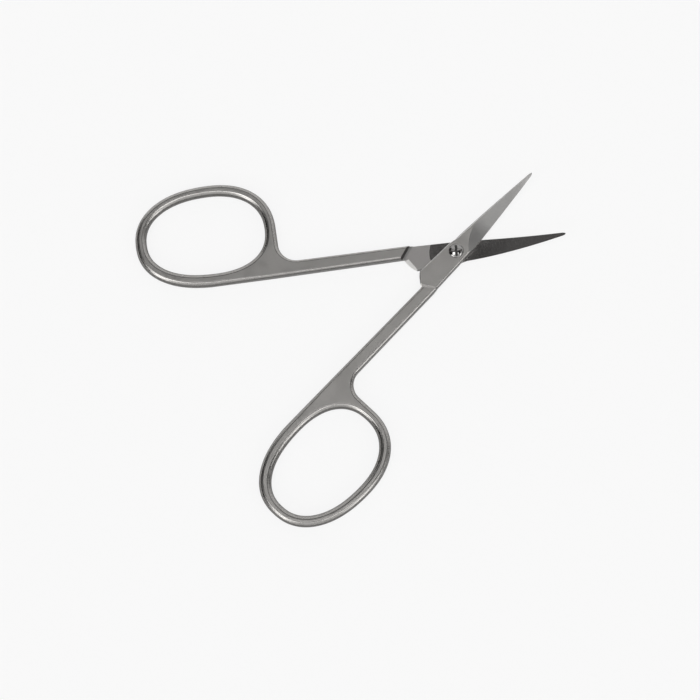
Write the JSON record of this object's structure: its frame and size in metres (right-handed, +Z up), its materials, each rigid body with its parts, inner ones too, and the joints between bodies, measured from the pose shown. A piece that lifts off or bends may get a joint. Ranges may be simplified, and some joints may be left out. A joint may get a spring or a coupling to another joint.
{
  "type": "nail scissors",
  "caption": "Curved nail scissors with oval finger rings, slim shanks and upward-curved ground blades that turn on a domed pivot screw.",
  "frame": {"origin": "on the pivot axis, on the flat underside of the lower half's joint block, where the screw's end lies flush", "axes": "+X from the pivot towards the blade tips, midway between the open blades; +Y towards the upper half's blade and the lower half's finger ring; +Z up, along the pivot axis towards the screw's head"},
  "size_m": [0.0816, 0.0776, 0.0046],
  "materials": {
    "satin_steel": "satin",
    "polished_steel": "polished"
  },
  "bodies": {
    "lower": {"lower_half": "satin_steel", "pivot_screw": "polished_steel"},
    "upper": {"upper_half": "satin_steel"}
  },
  "joints": [
    {"name": "pivot", "type": "hinge", "parent": "lower", "child": "upper", "pos_m": [0, 0, 0.00151], "axis": [0, 0, 1], "range_deg": [-38, 88]}
  ]
}
